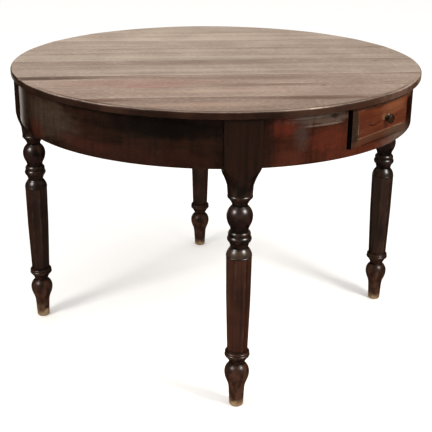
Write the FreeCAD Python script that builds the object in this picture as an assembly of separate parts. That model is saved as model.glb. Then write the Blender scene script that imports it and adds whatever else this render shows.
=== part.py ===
# Round kitchen table with one drawer.
# A boarded round top lies on four turned legs, joined by curved aprons.
# Lengths are in millimetres and angles in degrees. The floor is z = 0 and the table's
# centre is x = y = 0. The drawer opens towards -Y, and -Y is also where every piece that
# goes round the table is drawn before it is turned to its place.

import FreeCAD, Part
import math
import os

os.makedirs("parts", exist_ok=True)

# The whole table
table_height = 760
top_radius = 550
top_thickness = 17
overrun = 3
joint_gap = 0.3

# Places of the legs round their ring, in quarter turns from the first one
first_leg_turn = -42.3
leg_turn_shares = (0, 1.049, 1.991, 2.973)
quarter_turn = 90

# Round pieces that repeat are turned in flats, so that their faces stay few
turning_sides = 20
screw_sides = 8
flat_rise = 0.4

# Top boards
board_turn = 46.9
board_joint_shares = (-0.740, -0.547, -0.318, 0.009, 0.318, 0.536, 0.762)
board_arris = 0.8
top_upper_round = 5

# Aprons
top_overhang = 18
apron_thickness = 24
apron_height = 119
tenon_length = 22
tenon_thickness = 10
tenon_shoulder = 16
tenon_setback = 13
mortise_end_gap = 1

# Legs, from the square block down
block_width = 86
block_depth = 74
block_arris = 1.5
block_proud = 11
block_drop = 4
shoulder_rise = 14
turning_radius = 31.2
upper_turning_length = 213
lower_turning_length = 166
shaft_top_flats = 57.8
shaft_middle_flats = 55.4
shaft_bottom_flats = 47.6
shaft_middle_share = 0.45
shaft_sides = 8

# Turned outlines: share of the turning's length down from its top, share of the turning
# radius, and the bulge of the line that ends there, as a share of the turning radius.
upper_turning_shares = (
    (0.141, 0.994, -0.112),
    (0.246, 0.936, 0.0),
    (0.249, 0.897, 0.0),
    (0.289, 0.897, 0.064),
    (0.296, 0.843, 0.0),
    (0.357, 0.593, -0.016),
    (0.376, 0.587, 0.0),
    (0.493, 0.994, 0.100),
    (0.610, 0.769, 0.057),
    (0.662, 0.679, -0.016),
    (0.676, 0.679, 0.0),
    (0.681, 0.779, 0.0),
    (0.732, 0.833, 0.051),
    (0.796, 0.843, 0.093),
    (0.800, 0.795, 0.0),
    (0.852, 0.670, -0.010),
    (0.864, 0.673, 0.0),
    (0.977, 0.994, 0.103),
    (0.982, 0.965, 0.0),
    (0.987, 0.994, 0.0),
    (1.000, 1.000, 0.0),
)
lower_turning_shares = (
    (0.015, 0.846, 0.0),
    (0.021, 0.897, 0.0),
    (0.060, 0.917, 0.058),
    (0.117, 0.904, 0.077),
    (0.127, 0.853, 0.0),
    (0.205, 0.587, -0.013),
    (0.220, 0.577, 0.0),
    (0.361, 0.971, 0.104),
    (0.494, 0.840, 0.033),
    (0.663, 0.628, -0.038),
    (0.970, 0.554, 0.0),
    (1.000, 0.481, 0.026),
)
lower_turning_top_share = 0.840

# Drawer front
drawer_width = 245
drawer_setback = 3
drawer_front_thickness = 24
drawer_side_gap = 5
drawer_under_gap = 1
drawer_over_gap = 1.5
rail_under_drawer = 19
field_end_border = 22
field_bottom_border = 20
field_top_border = 10
field_rise = 4
field_step = 1.2

# Drawer box
drawer_length = 359
drawer_side_thickness = 12
drawer_side_lift = 1
drawer_back_thickness = 12
drawer_bottom_thickness = 7
drawer_bottom_lift = 8
groove_depth = 5
kicker_gap = 1.5
tail_count = 3
front_tail_length = 16
tail_width_share = 0.62
tail_flare_share = 0.16

# Drawer knob
knob_radius = 12
knob_length = 18
knob_height = 48
knob_side_shift = 22
knob_spigot_radius = 5
knob_spigot_length = 15
knob_fit = 0.15
knob_shares = (
    (0.00, 0.68, 0.0),
    (0.10, 0.68, 0.0),
    (0.36, 0.42, -0.07),
    (0.54, 0.90, 0.07),
    (0.68, 1.00, 0.04),
    (0.92, 0.72, 0.09),
    (1.00, 0.36, 0.04),
)

# Framing under the top
bearer_thickness = 24
bearer_gap = 1
bearer_lift = 3
housing_depth = 11
runner_width = 22
runner_height = 18
runner_overlength = 30
kicker_width = 18
kicker_height = 14
stop_length = 20
stop_height = 20
stop_width = 14
stop_inset = 3
glue_block_width = 26
glue_block_depth = 27
glue_block_height = 45

# Wood screws that hold the top
screw_head_radius = 4.5
screw_head_height = 3
screw_radius = 2.2
screw_bite = 12
screw_fit = 0.15
screw_tip_gap = 0.5
screw_joint_margin = 12

# Heights and places worked out from the sizes above
underside = table_height - top_thickness
apron_bottom = underside - apron_height
apron_radius = top_radius - top_overhang
apron_inner_radius = apron_radius - apron_thickness
leg_ring_radius = apron_radius + block_proud - block_depth / 2
block_bottom = apron_bottom - block_drop
shaft_top = block_bottom - upper_turning_length
shaft_bottom = lower_turning_length
tenon_bottom = apron_bottom + tenon_shoulder
tenon_top = underside - tenon_shoulder
tenon_outer = apron_radius - (apron_thickness - tenon_thickness) / 2
drawer_half = drawer_width / 2
drawer_face = apron_radius - drawer_setback
drawer_back_face = drawer_face - drawer_front_thickness
drawer_end = drawer_face - drawer_length
notch_floor = apron_bottom + rail_under_drawer
front_bottom = notch_floor + drawer_under_gap
front_top = underside - drawer_over_gap
side_bottom = front_bottom + drawer_side_lift
side_top = underside - kicker_height - kicker_gap
bearer_inner = drawer_half + bearer_gap
bearer_outer = bearer_inner + bearer_thickness
bearer_bottom = apron_bottom + bearer_lift
runner_top = side_bottom - joint_gap
panel_bottom = side_bottom + drawer_bottom_lift
panel_top = panel_bottom + drawer_bottom_thickness
screw_seat = underside - glue_block_height
board_joints = [share * top_radius for share in board_joint_shares]


def point(x, y, z):
    return FreeCAD.Vector(x, y, z)


def box(x0, x1, y0, y1, z0, z1):
    """A box between two values on each axis."""
    return Part.makeBox(x1 - x0, y1 - y0, z1 - z0, point(x0, y0, z0))


def rod(radius, z0, z1, x=0, y=0):
    """An upright round rod."""
    return Part.makeCylinder(radius, z1 - z0, point(x, y, z0))


def turned(shape, turn):
    """A copy of the shape, turned about the table's centre."""
    copy = shape.copy()
    copy.rotate(point(0, 0, 0), point(0, 0, 1), turn)
    return copy


def mirrored(shape):
    """The same shape on the other side of the drawer's centre line."""
    return shape.mirror(point(0, 0, 0), point(1, 0, 0))


def save(name, shape):
    """Write one piece, or one group of like pieces, under its name."""
    solids = shape.removeSplitter().Solids
    whole = solids[0] if len(solids) == 1 else Part.makeCompound(solids)
    whole.exportStep("parts/" + name + ".step")
    print(name, len(solids), "solid(s)", round(whole.Volume), "mm3")


def polygon(points):
    """A closed wire through the points."""
    return Part.makePolygon(list(points) + [points[0]])


def round_stretch(start, end, bulge):
    """Points along an arc that stands out from its chord by the bulge, its start left out."""
    flats = max(1, round(math.sqrt(abs(bulge) / flat_rise)))
    if flats == 1:
        return [end]
    fall = end[0] - start[0]
    spread = end[1] - start[1]
    chord = math.hypot(fall, spread)
    half_angle = 2 * math.atan(2 * bulge / chord)
    radius = chord / 2 / math.sin(half_angle)
    points = []
    for index in range(1, flats + 1):
        angle = half_angle * (2 * index / flats - 1)
        along = 0.5 + radius * math.sin(angle) / chord
        out = radius * (math.cos(angle) - math.cos(half_angle)) / chord
        points.append((start[0] + along * fall + out * spread, start[1] + along * spread - out * fall))
    return points


def outline(stations):
    """(height, radius) points of a turned outline from (height, radius, bulge) stations."""
    points = [stations[0][:2]]
    for height, radius, bulge in stations[1:]:
        points += round_stretch(points[-1], (height, radius), bulge)
    return points


def section(radius, height, sides, x=0, y=0):
    """Corners of a level section with equal sides, each at the given distance from its middle."""
    step = 2 * math.pi / sides
    corner = radius / math.cos(step / 2)
    angles = [step * (index + 0.5) for index in range(sides)]
    return [point(x + corner * math.cos(a), y + corner * math.sin(a), height) for a in angles]


def flat_sided(sections):
    """A solid with flat faces through level sections that have as many corners each."""
    faces = [Part.Face(polygon(sections[0])), Part.Face(polygon(sections[-1]))]
    for upper, lower in zip(sections, sections[1:]):
        for index in range(len(upper)):
            after = (index + 1) % len(upper)
            corners = [upper[index], upper[after], lower[after], lower[index]]
            faces.append(Part.Face(polygon(corners)))
    return Part.Solid(Part.Shell(faces))


def lathe(stations):
    """A turned solid in flats from (height, radius, bulge) stations, top first."""
    return flat_sided([section(radius, height, turning_sides) for height, radius in outline(stations)])


def screw_bar(radius, z0, z1, x, y):
    """An upright bar with as many sides as a screw has here."""
    return flat_sided([section(radius, height, screw_sides, x, y) for height in (z0, z1)])


def stations_down(shares, top, length, radius):
    """Turn a table of shares into stations below the given height."""
    return [(top - down * length, out * radius, bulge * radius) for down, out, bulge in shares]


def top_disc():
    """The whole top with its worn upper edge, before it is parted into boards."""
    stations = [
        (table_height, top_radius - top_upper_round, 0),
        (table_height - top_upper_round, top_radius, top_upper_round * round_bulge_share()),
        (underside, top_radius, 0),
    ]
    rim = [point(radius, 0, height) for height, radius in outline(stations)]
    middle = [point(0, 0, underside), point(0, 0, table_height)]
    return Part.Face(polygon(rim + middle)).revolve(point(0, 0, 0), point(0, 0, 1), 360)


def round_bulge_share():
    """How far a quarter round stands out from its chord, as a share of its radius."""
    return 1 - math.cos(math.radians(45))


def board_slab(low, high):
    """A plank between two joint lines, its long upper edges eased."""
    reach = top_radius + overrun
    corners = [
        point(low, -reach, underside),
        point(high, -reach, underside),
        point(high, -reach, table_height - board_arris),
        point(high - board_arris, -reach, table_height),
        point(low + board_arris, -reach, table_height),
        point(low, -reach, table_height - board_arris),
    ]
    return Part.Face(polygon(corners)).extrude(point(0, 2 * reach, 0))


def top_boards(pilot_holes):
    """The boards of the top, numbered from the one over the front left leg."""
    disc = top_disc()
    reach = top_radius + overrun
    lines = [-reach] + board_joints + [reach]
    for index in range(len(lines) - 1):
        slab = board_slab(lines[index], lines[index + 1])
        board = turned(disc.common(slab), board_turn).cut(pilot_holes)
        save("top_board_" + str(index + 1), board)


def block_prism():
    """The leg's square blank with eased corners, as tall as the leg."""
    half = block_width / 2
    depth = block_depth / 2
    ease = block_arris
    corners = [
        point(-half + ease, -depth, 0), point(half - ease, -depth, 0),
        point(half, -depth + ease, 0), point(half, depth - ease, 0),
        point(half - ease, depth, 0), point(-half + ease, depth, 0),
        point(-half, depth - ease, 0), point(-half, -depth + ease, 0),
    ]
    return Part.Face(polygon(corners)).extrude(point(0, 0, underside))


def upper_turning():
    """The block, its turned shoulder, the ring, the ball and the bell above the shaft."""
    clear_radius = math.hypot(block_width, block_depth) / 2 + overrun
    stations = [
        (underside, clear_radius, 0),
        (block_bottom + shoulder_rise, clear_radius, 0),
    ]
    stations += stations_down(upper_turning_shares, block_bottom, upper_turning_length, turning_radius)
    return lathe(stations).common(block_prism())


def lower_turning():
    """The double ring, the bulb and the tapering foot under the shaft."""
    stations = [(shaft_bottom, lower_turning_top_share * turning_radius, 0)]
    stations += stations_down(lower_turning_shares, shaft_bottom, lower_turning_length, turning_radius)
    return lathe(stations)


def faceted_shaft():
    """The long tapering shaft with eight flats, square to the block."""
    middle = shaft_top + (shaft_bottom - shaft_top) * shaft_middle_share
    return flat_sided([
        section(shaft_top_flats / 2, shaft_top, shaft_sides),
        section(shaft_middle_flats / 2, middle, shaft_sides),
        section(shaft_bottom_flats / 2, shaft_bottom, shaft_sides),
    ])


def tenon_box(length, past):
    """The space of a tenon in the right side of the leg at -Y."""
    side = block_width / 2
    inner = tenon_outer - tenon_thickness
    return box(side - length, side + past, -tenon_outer, -inner, tenon_bottom, tenon_top)


def leg():
    """A whole leg at -Y, with a mortise in each side of its block."""
    body = upper_turning().fuse([faceted_shaft(), lower_turning()])
    body.translate(point(0, -leg_ring_radius, 0))
    mortise = tenon_box(tenon_length + mortise_end_gap, overrun)
    return body.cut([mortise, mirrored(mortise)])


def leg_turns():
    """The turn of each leg, from the front left one on."""
    return [first_leg_turn + quarter_turn * share for share in leg_turn_shares]


def legs():
    """Four like legs, each at its place on the ring."""
    one = leg()
    for name, turn in zip(("front_left", "front_right", "back_right", "back_left"), leg_turns()):
        save("leg_" + name, turned(one, turn))


def apron_rail(start, end):
    """A curved rail from one leg's turn to the next one's, with a tenon at each end."""
    ring = rod(apron_radius, apron_bottom, underside).cut(rod(apron_inner_radius, apron_bottom, underside))
    reach = apron_radius + overrun
    beside_leg = box(block_width / 2, reach, -reach, reach, apron_bottom, underside)
    rail = ring.common(turned(beside_leg, start))
    rail = rail.common(turned(mirrored(beside_leg), end))
    tenon = tenon_box(tenon_length, overrun)
    return rail.fuse([turned(tenon, start), turned(mirrored(tenon), end)])


def drawer_notch():
    """The space that the drawer slides through, open at the top of the rail."""
    half = drawer_half + drawer_side_gap
    return box(-half, half, -apron_radius - overrun, 0, notch_floor, underside + overrun)


def bearer():
    """The right bearer, which runs from the front rail to the back one."""
    reach = apron_inner_radius_at(bearer_inner) + housing_at_bearer()
    return box(bearer_inner, bearer_outer, -reach, reach, bearer_bottom, underside)


def apron_inner_radius_at(x):
    """How far in front of the centre the rail's inner face is at this distance aside."""
    return math.sqrt(apron_inner_radius ** 2 - x ** 2)


def housing_at_bearer():
    """Depth of the housing at the bearer's inner face, half its depth on the outer one."""
    fall = apron_inner_radius_at(bearer_inner) - apron_inner_radius_at(bearer_outer)
    return (housing_depth - fall) / 2


def aprons():
    """Front, right, back and left rails, housed for the bearers."""
    cuts = {"front": [bearer(), mirrored(bearer()), drawer_notch()], "back": [bearer(), mirrored(bearer())]}
    turns = leg_turns()
    ends = turns[1:] + turns[:1]
    for side, start, end in zip(("front", "right", "back", "left"), turns, ends):
        rail = apron_rail(start, end)
        if side in cuts:
            rail = rail.cut(cuts[side])
        save("apron_" + side, rail)


def inside_apron(shape):
    """The part of a shape that clears the rails' inner faces."""
    return shape.common(rod(apron_inner_radius - joint_gap, apron_bottom, underside))


def runner():
    """The right strip that the drawer's side slides on."""
    rear = -drawer_end + runner_overlength
    low = runner_top - runner_height
    strip = box(bearer_inner - runner_width, bearer_inner, -apron_radius, rear, low, runner_top)
    return inside_apron(strip)


def kicker():
    """The right strip above the drawer's side, which keeps the open drawer level."""
    strip = box(bearer_inner - kicker_width, bearer_inner, -apron_radius, apron_radius,
                underside - kicker_height, underside)
    return inside_apron(strip)


def drawer_stop():
    """The right block that the closed drawer meets."""
    outer = bearer_inner - stop_inset
    front = -drawer_end + joint_gap
    return box(outer - stop_width, outer, front, front + stop_length, runner_top, runner_top + stop_height)


def glue_block():
    """A block in the corner between a leg at -Y and the rail on its right."""
    side = block_width / 2
    outer = apron_inner_radius
    block = box(side, side + glue_block_width, -outer, glue_block_depth - outer,
                underside - glue_block_height, underside)
    return inside_apron(block)


def across_boards(x, y):
    """Distance of a place from the top's middle, measured across the boards."""
    angle = math.radians(board_turn)
    return x * math.cos(angle) + y * math.sin(angle)


def clear_of_joints(x, y):
    """True where a screw would meet one board only."""
    across = across_boards(x, y)
    return all(abs(across - line) >= screw_joint_margin for line in board_joints)


def screw_places():
    """One screw in the middle of each glue block that lies clear of the board joints."""
    places = []
    for turn in leg_turns():
        for side in (-1, 1):
            aside = side * (block_width + glue_block_width) / 2
            inward = apron_inner_radius - glue_block_depth / 2 - joint_gap
            spot = point(aside, -inward, 0)
            angle = math.radians(turn)
            x = spot.x * math.cos(angle) - spot.y * math.sin(angle)
            y = spot.x * math.sin(angle) + spot.y * math.cos(angle)
            if clear_of_joints(x, y):
                places.append((x, y))
    return places


def screw(x, y):
    """A screw that stands head down under the top."""
    head = screw_bar(screw_head_radius, screw_seat - screw_head_height, screw_seat, x, y)
    return head.fuse(screw_bar(screw_radius, screw_seat, underside + screw_bite, x, y))


def screw_hole(x, y):
    """The hole for a screw's shank, through a glue block and into the top."""
    return screw_bar(screw_radius + screw_fit, screw_seat - overrun, underside + screw_bite + screw_tip_gap, x, y)


def framing(holes):
    """Bearers, runners, kickers, stops and glue blocks."""
    for side, flip in (("right", False), ("left", True)):
        for name, piece in (("bearer", bearer()), ("drawer_runner", runner()), ("drawer_kicker", kicker())):
            save(name + "_" + side, mirrored(piece) if flip else piece)
    save("drawer_stops", Part.makeCompound([drawer_stop(), mirrored(drawer_stop())]))
    blocks = []
    for turn in leg_turns():
        for piece in (glue_block(), mirrored(glue_block())):
            blocks.append(turned(piece, turn).cut(holes))
    save("glue_blocks", Part.makeCompound(blocks))


def tail_row(start, length, low, high):
    """The dovetails of the right drawer side, from y = start over the signed length."""
    pitch = (high - low) / tail_count
    narrow = pitch * tail_width_share / 2
    wide = narrow + abs(length) * tail_flare_share
    outer = drawer_half
    inner = outer - drawer_side_thickness
    tails = []
    for index in range(tail_count):
        middle = low + pitch * (index + 0.5)
        corners = [
            point(inner, start, middle - narrow), point(inner, start, middle + narrow),
            point(inner, start + length, middle + wide), point(inner, start + length, middle - wide),
        ]
        tails.append(Part.Face(polygon(corners)).extrude(point(drawer_side_thickness, 0, 0)))
    return tails


def front_tails():
    return tail_row(-drawer_back_face, -front_tail_length, side_bottom, side_top)


def back_tails():
    return tail_row(-drawer_end - drawer_back_thickness, drawer_back_thickness, panel_top, side_top)


def bottom_panel():
    """The drawer's bottom, let into the sides and the front, and passing under the back."""
    half = drawer_half - drawer_side_thickness + groove_depth
    return box(-half, half, -drawer_back_face - groove_depth, -drawer_end, panel_bottom, panel_top)


def drawer_side():
    """The right side of the drawer, with tails at both ends."""
    inner = drawer_half - drawer_side_thickness
    board = box(inner, drawer_half, -drawer_back_face, -drawer_end - drawer_back_thickness, side_bottom, side_top)
    under_back = box(inner, drawer_half, -drawer_end - drawer_back_thickness, -drawer_end, side_bottom, panel_top)
    side = board.fuse(front_tails() + back_tails() + [under_back])
    return side.cut(bottom_panel())


def spigot(radius, length):
    """The knob's spigot, or the hole for it, from the drawer front's face inwards."""
    bar = flat_sided([section(radius, height, turning_sides) for height in (0, length)])
    bar.rotate(point(0, 0, 0), point(1, 0, 0), -90)
    bar.translate(knob_seat())
    return bar


def knob_seat():
    return point(knob_side_shift, -drawer_face, front_bottom + knob_height)


def drawer_front():
    """The flat front with its raised field, cut for the sides, the bottom and the knob."""
    edge_face = -drawer_face + field_rise
    slope_top = -drawer_face + field_step
    board = box(-drawer_half, drawer_half, edge_face, -drawer_back_face, front_bottom, front_top)
    low = front_bottom + field_bottom_border
    high = front_top - field_top_border
    side = drawer_half - field_end_border
    base = rectangle_at(edge_face, drawer_half, front_bottom, front_top)
    crown = rectangle_at(slope_top, side, low, high)
    slope = Part.makeLoft([base, crown], True, True)
    field = box(-side, side, -drawer_face, slope_top, low, high)
    tails = front_tails()
    sockets = tails + [mirrored(tail) for tail in tails]
    knob_hole = spigot(knob_spigot_radius + knob_fit, knob_spigot_length + mortise_end_gap)
    return board.fuse([slope, field]).cut(sockets + [bottom_panel(), knob_hole])


def rectangle_at(y, half, low, high):
    """An upright rectangle across the drawer front."""
    return polygon([point(-half, y, low), point(half, y, low), point(half, y, high), point(-half, y, high)])


def drawer_back():
    """The back, which stands on the bottom and takes the sides' rear tails."""
    board = box(-drawer_half, drawer_half, -drawer_end - drawer_back_thickness, -drawer_end, panel_top, side_top)
    tails = back_tails()
    return board.cut(tails + [mirrored(tail) for tail in tails])


def knob():
    """The turned knob and its spigot."""
    head = lathe(stations_down(knob_shares, 0, knob_length, knob_radius))
    head.rotate(point(0, 0, 0), point(1, 0, 0), -90)
    head.translate(knob_seat())
    return head.fuse(spigot(knob_spigot_radius, knob_spigot_length))


def drawer():
    """The six pieces of the drawer."""
    side = drawer_side()
    save("drawer_front", drawer_front())
    save("drawer_side_right", side)
    save("drawer_side_left", mirrored(side))
    save("drawer_back", drawer_back())
    save("drawer_bottom", bottom_panel())
    save("drawer_knob", knob())


places = screw_places()
holes = [screw_hole(x, y) for x, y in places]
top_boards(holes)
legs()
aprons()
framing(holes)
save("top_screws", Part.makeCompound([screw(x, y) for x, y in places]))
drawer()
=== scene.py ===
import math
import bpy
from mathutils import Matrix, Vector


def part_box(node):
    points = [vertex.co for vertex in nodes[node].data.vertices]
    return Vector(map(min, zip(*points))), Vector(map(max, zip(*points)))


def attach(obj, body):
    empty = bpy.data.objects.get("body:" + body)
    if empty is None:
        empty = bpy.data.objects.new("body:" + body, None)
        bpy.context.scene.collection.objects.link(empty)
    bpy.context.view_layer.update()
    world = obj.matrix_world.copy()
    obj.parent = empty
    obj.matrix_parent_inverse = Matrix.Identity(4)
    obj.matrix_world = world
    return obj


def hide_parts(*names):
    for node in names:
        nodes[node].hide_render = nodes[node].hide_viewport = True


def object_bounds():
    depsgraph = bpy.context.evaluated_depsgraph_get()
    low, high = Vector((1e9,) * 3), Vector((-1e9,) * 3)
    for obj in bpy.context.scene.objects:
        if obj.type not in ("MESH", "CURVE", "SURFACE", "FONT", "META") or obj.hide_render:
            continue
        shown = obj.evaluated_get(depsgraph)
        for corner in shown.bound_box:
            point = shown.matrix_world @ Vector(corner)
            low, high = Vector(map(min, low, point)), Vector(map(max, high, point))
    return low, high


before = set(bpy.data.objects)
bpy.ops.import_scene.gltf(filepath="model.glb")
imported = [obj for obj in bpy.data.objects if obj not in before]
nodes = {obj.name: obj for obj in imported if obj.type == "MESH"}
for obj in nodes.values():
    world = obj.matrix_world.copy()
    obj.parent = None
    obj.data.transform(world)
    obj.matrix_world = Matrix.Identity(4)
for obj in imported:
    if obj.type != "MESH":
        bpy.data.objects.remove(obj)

from types import SimpleNamespace

import bmesh
import bpy
from mathutils import Matrix, Vector, noise

# An old round kitchen table: boarded top, curved aprons, turned legs with eight-sided shafts, one drawer.
# Lengths are in metres, angles in degrees unless a name says otherwise. A turn of 0 is the drawer's side,
# and turns grow towards +X. Every piece is built in the frame's own place.

cadLow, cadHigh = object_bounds()


# Helpers for meshes

meshValues = {"sharpAngle": 40, "easeAngle": 30, "samePlace": 1e-6, "weld": 1e-5}


def turnMatrix(degrees):
    return Matrix.Rotation(math.radians(degrees), 4, "Z")


def moveAll(bm, matrix):
    bmesh.ops.transform(bm, matrix=matrix, verts=bm.verts[:])


def addObject(name, data):
    made = bpy.data.objects.new(name, data)
    bpy.context.scene.collection.objects.link(made)
    return made


def toMesh(bm, name):
    mesh = bpy.data.meshes.new(name)
    bm.to_mesh(mesh)
    bm.free()
    return mesh


def faceOutwards(bm):
    bmesh.ops.recalc_face_normals(bm, faces=bm.faces[:])


def finishPiece(bm, name, material, body, replaced):
    # the mesh becomes an object that rides on its body and stands for its CAD nodes
    mesh = toMesh(bm, name)
    mesh.materials.clear()
    mesh.materials.append(material)
    mesh.polygons.foreach_set("use_smooth", [True] * len(mesh.polygons))
    mesh.set_sharp_from_angle(angle=math.radians(meshValues["sharpAngle"]))
    piece = addObject(name, mesh)
    even = piece.modifiers.new("evenNormals", "WEIGHTED_NORMAL")
    even.keep_sharp = True
    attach(piece, body)
    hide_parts(*replaced)


def wearLayer(bm, name):
    # a corner attribute that the wear in the materials follows
    return bm.loops.layers.float.get(name) or bm.loops.layers.float.new(name)


def easeEdges(bm, edges, width, segments=2, worn=1.0):
    # round over some edges and mark the new faces as worn
    made = bmesh.ops.bevel(bm, geom=edges, offset=width, offset_type="OFFSET", affect="EDGES",
                           segments=segments, profile=0.5, clamp_overlap=True, material=-1)
    layer = wearLayer(bm, "worn")
    for face in made["faces"]:
        for loop in face.loops:
            loop[layer] = worn


def sharpEdges(bm):
    limit = math.radians(meshValues["easeAngle"])
    return [e for e in bm.edges if len(e.link_faces) == 2 and e.calc_face_angle(0) > limit]


def capHoles(bm):
    rim = [e for e in bm.edges if len(e.link_faces) == 1]
    bmesh.ops.holes_fill(bm, edges=rim, sides=0)


def cutAt(bm, place, direction, clear=False):
    # a line round the mesh; with clear, everything beyond it is planed off and the cut is closed
    bmesh.ops.bisect_plane(bm, geom=bm.verts[:] + bm.edges[:] + bm.faces[:], dist=meshValues["samePlace"],
                           plane_co=place, plane_no=direction, clear_outer=clear)
    if clear:
        capHoles(bm)


def arcPoints(start, end, bulge, steps):
    # points of a round stretch of an outline, without its start; each is (height, radius)
    if bulge == 0:
        return [end]
    fall, spread = end[0] - start[0], end[1] - start[1]
    chord = math.hypot(fall, spread)
    halfAngle = 2 * math.atan(2 * bulge / chord)
    radius = chord / 2 / math.sin(halfAngle)
    points = []
    for index in range(1, steps + 1):
        angle = halfAngle * (2 * index / steps - 1)
        along = 0.5 + radius * math.sin(angle) / chord
        out = radius * (math.cos(angle) - math.cos(halfAngle)) / chord
        points.append((start[0] + along * fall + out * spread, start[1] + along * spread - out * fall))
    return points


def outlineFromShares(shares, start, top, length, values):
    points = []
    for down, out, bulge in shares:
        end = (top - down * length, out * values["radius"])
        points += arcPoints(start, end, bulge * values["radius"], values["arcSteps"])
        start = end
    return points


def spinOutline(outline, steps):
    # a closed turned solid from (height, radius) points, top first
    bm = bmesh.new()
    verts = [bm.verts.new((radius, 0, height)) for height, radius in outline]
    edges = [bm.edges.new(pair) for pair in zip(verts, verts[1:])]
    bmesh.ops.spin(bm, geom=verts + edges, cent=(0, 0, 0), axis=(0, 0, 1), angle=2 * math.pi,
                   steps=steps, use_merge=True)
    bmesh.ops.remove_doubles(bm, verts=bm.verts[:], dist=meshValues["samePlace"])
    capHoles(bm)
    faceOutwards(bm)
    return bm


def cadCopy(name):
    # a CAD node's triangles, joined where they touch
    bm = bmesh.new()
    bm.from_mesh(nodes[name].data)
    bmesh.ops.remove_doubles(bm, verts=bm.verts[:], dist=meshValues["weld"])
    return bm


# Helpers for materials

class Wire:
    # an output socket that arithmetic works on: every sign adds a math node to its tree
    def __init__(self, socket):
        self.socket = socket
        self.tree = socket.id_data

    def __add__(self, other):
        return calc("ADD", self, other)

    def __sub__(self, other):
        return calc("SUBTRACT", self, other)

    def __rsub__(self, other):
        return calc("SUBTRACT", other, self)

    def __mul__(self, other):
        return calc("MULTIPLY", self, other)

    def __abs__(self):
        return calc("ABSOLUTE", self)


def setInputs(node, inputs):
    # wires are linked, plain values are set
    for name, value in inputs.items():
        if isinstance(value, Wire):
            value.tree.links.new(value.socket, node.inputs[name])
        else:
            node.inputs[name].default_value = value


def addNode(tree, kind, inputs=None, output=0, **settings):
    # a new node, from which one output is used
    made = tree.nodes.new(kind)
    for name, value in settings.items():
        setattr(made, name, value)
    setInputs(made, inputs or {})
    return Wire(made.outputs[output])


def calc(operation, a, b=0.0):
    tree = (a if isinstance(a, Wire) else b).tree
    return addNode(tree, "ShaderNodeMath", {0: a, 1: b}, operation=operation)


def stretched(vector, *factors):
    return addNode(vector.tree, "ShaderNodeVectorMath", {0: vector, 1: factors}, operation="MULTIPLY")


def shifted(vector, offset):
    return addNode(vector.tree, "ShaderNodeVectorMath", {0: vector, 1: offset}, operation="ADD")


def lengthOf(vector):
    return addNode(vector.tree, "ShaderNodeVectorMath", {0: vector}, "Value", operation="LENGTH")


def join(x, y, z=0.0):
    return addNode(x.tree, "ShaderNodeCombineXYZ", {0: x, 1: y, 2: z})


def split(vector):
    first = addNode(vector.tree, "ShaderNodeSeparateXYZ", {0: vector})
    return [Wire(socket) for socket in first.socket.node.outputs]


def noiseAt(vector, scale, detail, roughness, seed):
    inputs = {"Vector": vector, "Scale": scale, "Detail": detail, "Roughness": roughness, "W": seed}
    return addNode(vector.tree, "ShaderNodeTexNoise", inputs, noise_dimensions="4D")


def fade(value, low, high, outLow=0.0, outHigh=1.0):
    # a smooth step between two values
    return addNode(value.tree, "ShaderNodeMapRange", {0: value, 1: low, 2: high, 3: outLow, 4: outHigh},
                   interpolation_type="SMOOTHSTEP")


def fadeOut(value, low, high, amount=1.0):
    # the same step downwards, from an amount to nothing
    return fade(value, low, high, amount, 0.0)


def between(mask, low, high):
    # a mask's 0 to 1 squeezed between two amounts
    return fade(mask, 0.0, 1.0, low, high)


def linear(code, strength=1.0):
    # a hex colour as linear light
    parts = [int(code[i:i + 2], 16) / 255 for i in (0, 2, 4)]
    light = [(p / 12.92 if p <= 0.04045 else ((p + 0.055) / 1.055) ** 2.4) * strength for p in parts]
    return (*light, 1.0)


def mixed(share, first, second):
    # two linear colours mixed, with this share of the second
    return tuple(a + (b - a) * share for a, b in zip(first, second))


def blend(mask, first, second):
    # the second colour laid over the first where the mask is high; each may be a hex code
    first, second = (linear(c) if isinstance(c, str) else c for c in (first, second))
    return addNode(mask.tree, "ShaderNodeMix", {0: mask, 6: first, 7: second}, 2, data_type="RGBA")


def patchMask(vector, at, size, amount, seed, ragged=0.5, soft=0.35, pull=0.5):
    # a soft, ragged-edged patch round a place: 1 inside, 0 outside; a small pull draws its edges out along
    # the grain, and the third number of a place and of a size may be left out
    moved = shifted(vector, tuple(-c for c in (*at, 0)[:3]))
    reach = lengthOf(stretched(moved, *(1 / s for s in (*size, 1)[:3])))
    stir = noiseAt(stretched(vector, 1.0, pull, 1.0), 55.0, 4.0, 0.6, seed) - 0.5
    return fadeOut(reach + stir * (2 * ragged), 1.0 - soft, 1.0 + soft, amount)


def paintPatches(colour, vector, patches, pull=0.5):
    # each row is a patch's place, its size, colour and amount, and what else differs from the usual
    for index, (at, size, code, amount, *more) in enumerate(patches):
        shape = {"pull": pull, **(more[0] if more else {})}
        colour = blend(patchMask(vector, at, size, amount, 1.3 * index, **shape), colour, code)
    return colour


def newGroup(name, inputs, outputs):
    # a shader node group; an input without a usual value is a vector
    tree = bpy.data.node_groups.new(name, "ShaderNodeTree")
    for label, value in inputs.items():
        kind = "NodeSocketVector" if value is None else "NodeSocketFloat"
        socket = tree.interface.new_socket(name=label, in_out="INPUT", socket_type=kind)
        if value is not None:
            socket.default_value = value
    for label in outputs:
        tree.interface.new_socket(name=label, in_out="OUTPUT", socket_type="NodeSocketFloat")
    given = tree.nodes.new("NodeGroupInput").outputs
    return tree, {label: Wire(given[label]) for label in inputs}, tree.nodes.new("NodeGroupOutput")


def useGroup(tree, group, inputs):
    made = tree.nodes.new("ShaderNodeGroup")
    made.node_tree = group
    setInputs(made, inputs)
    return {socket.name.lower(): Wire(socket) for socket in made.outputs}


# Shared groups. The grain runs along Y of the vector that they are given.

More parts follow.
